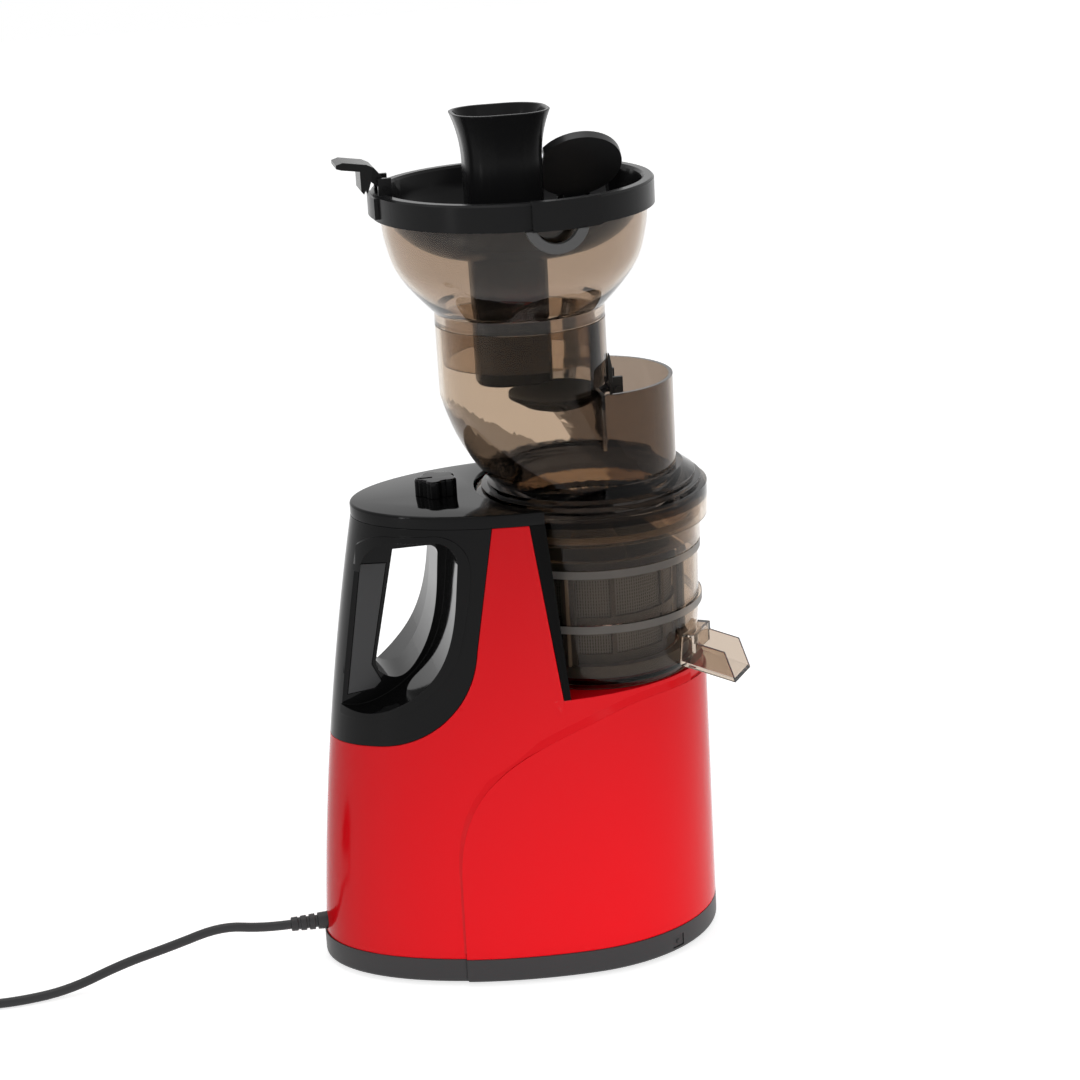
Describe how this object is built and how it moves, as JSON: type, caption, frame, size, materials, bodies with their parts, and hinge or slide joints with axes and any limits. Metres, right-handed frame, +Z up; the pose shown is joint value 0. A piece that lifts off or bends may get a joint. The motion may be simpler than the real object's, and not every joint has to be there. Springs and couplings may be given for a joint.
{
  "type": "cold press juicer",
  "caption": "Vertical slow juicer with red housing, side grip, smoke-brown drum, lid and hopper, feed tray, pusher, geared auger drive and mains cord.",
  "frame": {"origin": "on the table, under the middle of the machine's footprint, cord left out", "axes": "+Z up; -Y the front with the juicing drum; +Y the rear with the handle and the cord; -X the juice spout's side"},
  "size_m": [0.1744, 0.5758, 0.532],
  "materials": {
    "base_grey": "fine texture",
    "rubber": "matt",
    "steel": "turned",
    "black_satin": "satin",
    "red_gloss": "high gloss",
    "black_gloss": "high gloss",
    "grip_grey": "satin",
    "board_green": "lacquered",
    "cast_alloy": "as cast",
    "laminations": "stacked sheet",
    "copper": "enamelled wire",
    "nylon": "natural nylon",
    "bronze": "sintered",
    "silicone": "soft matt",
    "smoke": "clear smoke-brown",
    "smoke_dark": "satin gloss",
    "mesh_steel": "etched",
    "cord_rubber": "satin",
    "pin_metal": "bright"
  },
  "bodies": {
    "housing": {"base_plate": "base_grey", "rubber_feet": "rubber", "base_screws": "steel", "base_clip": "black_satin", "body_shell": "red_gloss", "column_cheeks": "red_gloss", "handle_shell": "black_gloss", "handle_post": "black_gloss", "grip_inserts": "grip_grey", "column_panel": "black_gloss", "top_cover": "black_gloss", "selector_switch": "black_satin", "control_board": "board_green", "motor_bracket": "cast_alloy", "motor_bearings": "steel", "stator_core": "laminations", "stator_windings": "copper", "gearbox_housing": "cast_alloy", "gearbox_cover": "cast_alloy", "gearbox_screws": "steel", "idler_pin": "steel", "output_bush": "bronze", "shaft_seal": "silicone", "interlock_switch": "black_satin", "strain_relief": "cord_rubber", "power_cord": "cord_rubber", "cord_coil": "cord_rubber", "plug": "black_satin", "plug_pins": "pin_metal"},
    "selector": {"selector_knob": "black_gloss"},
    "rotor": {"rotor_core": "laminations", "rotor_shaft": "steel", "motor_pinion": "steel", "cooling_fan": "nylon"},
    "idler": {"idler_gear": "nylon"},
    "output": {"output_gear": "nylon", "drive_shaft": "steel"},
    "plunger": {"interlock_plunger": "nylon"},
    "drum_group": {"drum": "smoke", "drum_seal": "silicone", "juice_spout": "smoke", "pulp_spout": "smoke", "pulp_plug": "silicone", "strainer_frame": "smoke_dark", "strainer_mesh": "mesh_steel"},
    "brush": {"brush_frame": "smoke_dark", "brush_blades": "silicone"},
    "planet": {"planet_gear": "nylon"},
    "auger_group": {"auger": "smoke_dark", "auger_socket": "steel"},
    "lid_group": {"lid": "smoke", "lid_seal": "silicone", "gate_bracket": "black_satin"},
    "gate": {"flip_gate": "black_satin"},
    "hopper": {"hopper_bowl": "smoke"},
    "tray": {"hopper_tray": "black_satin", "finger_loop": "grip_grey"},
    "flap": {"tray_flap": "black_satin"},
    "latch": {"latch_lever": "black_satin"},
    "pusher_body": {"pusher": "black_gloss"}
  },
  "joints": [
    {"name": "motor_spin", "type": "hinge", "parent": "housing", "child": "rotor", "pos_m": [0, -0.05008, 0.067], "axis": [0, 0, 1], "continuous": true},
    {"name": "idler_spin", "type": "hinge", "parent": "housing", "child": "idler", "pos_m": [0, -0.01808, 0.125], "axis": [0, 0, 1], "continuous": true},
    {"name": "output_spin", "type": "hinge", "parent": "housing", "child": "output", "pos_m": [0, -0.05008, 0.14], "axis": [0, 0, 1], "continuous": true},
    {"name": "selector_turn", "type": "hinge", "parent": "housing", "child": "selector", "pos_m": [0, 0.04692, 0.3], "axis": [0, 0, 1], "range_deg": [-45, 45]},
    {"name": "interlock_press", "type": "slide", "parent": "housing", "child": "plunger", "axis": [0, 0, 1], "range_m": [-0.003, 0], "stiffness_N_per_m": 200},
    {"name": "drum_lift", "type": "slide", "parent": "housing", "child": "drum_group", "axis": [0, 0, 1], "range_m": [0, 0.13]},
    {"name": "auger_spin", "type": "hinge", "parent": "drum_group", "child": "auger_group", "pos_m": [0, -0.05008, 0.23], "axis": [0, 0, 1], "continuous": true},
    {"name": "planet_spin", "type": "hinge", "parent": "drum_group", "child": "planet", "pos_m": [-0.00729, -0.00872, 0.19], "axis": [0, 0, 1], "continuous": true},
    {"name": "brush_spin", "type": "hinge", "parent": "drum_group", "child": "brush", "pos_m": [0, -0.05008, 0.22], "axis": [0, 0, 1], "continuous": true},
    {"name": "lid_lift", "type": "slide", "parent": "drum_group", "child": "lid_group", "axis": [0, 0, 1], "range_m": [0, 0.12]},
    {"name": "gate_swing", "type": "hinge", "parent": "lid_group", "child": "gate", "pos_m": [0, -0.06668, 0.358], "axis": [1, 0, 0], "range_deg": [-65, 0], "stiffness_Nm_per_rad": 0.02, "springref_deg": 17.19},
    {"name": "hopper_lift", "type": "slide", "parent": "lid_group", "child": "hopper", "axis": [0, 0, 1], "range_m": [0, 0.1]},
    {"name": "tray_lift", "type": "slide", "parent": "hopper", "child": "tray", "axis": [0, 0, 1], "range_m": [0, 0.08]},
    {"name": "flap_swing", "type": "hinge", "parent": "tray", "child": "flap", "pos_m": [0.0298, -0.05388, 0.4704], "axis": [0, -1, 0], "range_deg": [-8, 46]},
    {"name": "latch_turn", "type": "hinge", "parent": "tray", "child": "latch", "pos_m": [0, 0.06692, 0.4922], "axis": [1, 0, 0], "range_deg": [0, 70]},
    {"name": "pusher_slide", "type": "slide", "parent": "tray", "child": "pusher_body", "axis": [0, 0, 1], "range_m": [0, 0.16]}
  ],
  "couplings": [
    {"joint": "idler_spin", "follows": "motor_spin", "ratio": -0.2},
    {"joint": "output_spin", "follows": "motor_spin", "ratio": 0.05},
    {"joint": "auger_spin", "follows": "motor_spin", "ratio": 0.05},
    {"joint": "planet_spin", "follows": "motor_spin", "ratio": -0.125},
    {"joint": "brush_spin", "follows": "motor_spin", "ratio": -0.027778}
  ]
}
